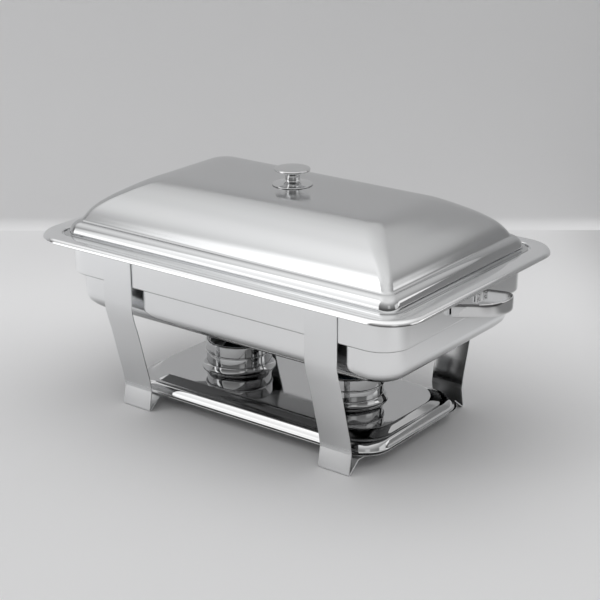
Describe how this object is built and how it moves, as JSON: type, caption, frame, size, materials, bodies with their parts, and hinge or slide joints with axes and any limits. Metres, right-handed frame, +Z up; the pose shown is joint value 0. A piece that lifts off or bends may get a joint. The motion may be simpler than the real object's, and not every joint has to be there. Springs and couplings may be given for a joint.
{
  "type": "chafing dish food warmer",
  "caption": "Rectangular chafing dish: domed lid with a knob, full-size food pan in a water pan, strap-legged stand and a fuel tray with covered burners.",
  "frame": {"origin": "centre of the footprint, on the table plane under the feet", "axes": "+X along the long side towards the right-hand handle, -Y is the serving side, +Z up"},
  "size_m": [0.6464, 0.376, 0.3304],
  "materials": {
    "polished_steel": "mirror-polished stainless steel",
    "satin_steel": "satin stainless steel",
    "tinplate": "plain tinplate",
    "silicone": "dark matt silicone",
    "fuel_gel": "translucent pale gel"
  },
  "bodies": {
    "stand": {"rail_front": "satin_steel", "rail_rear": "satin_steel", "leg_front_left": "satin_steel", "leg_front_right": "satin_steel", "leg_rear_left": "satin_steel", "leg_rear_right": "satin_steel", "fuel_tray": "polished_steel"},
    "water_pan": {"water_pan": "polished_steel", "handle_left": "polished_steel", "handle_right": "polished_steel"},
    "food_pan": {"food_pan": "satin_steel"},
    "lid": {"lid_shell": "polished_steel", "lid_knob": "polished_steel", "knob_gasket": "silicone", "knob_washer": "satin_steel", "knob_screw": "satin_steel"},
    "burner_left": {"burner_cup_left": "polished_steel", "burner_skirt_left": "polished_steel"},
    "can_left": {"fuel_can_left": "tinplate", "fuel_gel_left": "fuel_gel"},
    "cover_left": {"burner_cover_left": "polished_steel"},
    "burner_right": {"burner_cup_right": "polished_steel", "burner_skirt_right": "polished_steel"},
    "can_right": {"fuel_can_right": "tinplate", "fuel_gel_right": "fuel_gel"},
    "cover_right": {"burner_cover_right": "polished_steel"}
  },
  "joints": [
    {"name": "water_pan_lift", "type": "slide", "parent": "stand", "child": "water_pan", "axis": [0, 0, 1], "range_m": [0, 0.12]},
    {"name": "food_pan_lift", "type": "slide", "parent": "water_pan", "child": "food_pan", "axis": [0, 0, 1], "range_m": [0, 0.1]},
    {"name": "lid_lift", "type": "slide", "parent": "food_pan", "child": "lid", "axis": [0, 0, 1], "range_m": [0, 0.15]},
    {"name": "burner_left_slide", "type": "slide", "parent": "stand", "child": "burner_left", "axis": [-1, 0, 0], "range_m": [0, 0.035]},
    {"name": "can_left_lift", "type": "slide", "parent": "burner_left", "child": "can_left", "axis": [0, 0, 1], "range_m": [0, 0.02]},
    {"name": "cover_left_lift", "type": "slide", "parent": "can_left", "child": "cover_left", "axis": [0, 0, 1], "range_m": [0, 0.025]},
    {"name": "burner_right_slide", "type": "slide", "parent": "stand", "child": "burner_right", "axis": [1, 0, 0], "range_m": [0, 0.035]},
    {"name": "can_right_lift", "type": "slide", "parent": "burner_right", "child": "can_right", "axis": [0, 0, 1], "range_m": [0, 0.02]},
    {"name": "cover_right_lift", "type": "slide", "parent": "can_right", "child": "cover_right", "axis": [0, 0, 1], "range_m": [0, 0.025]}
  ]
}
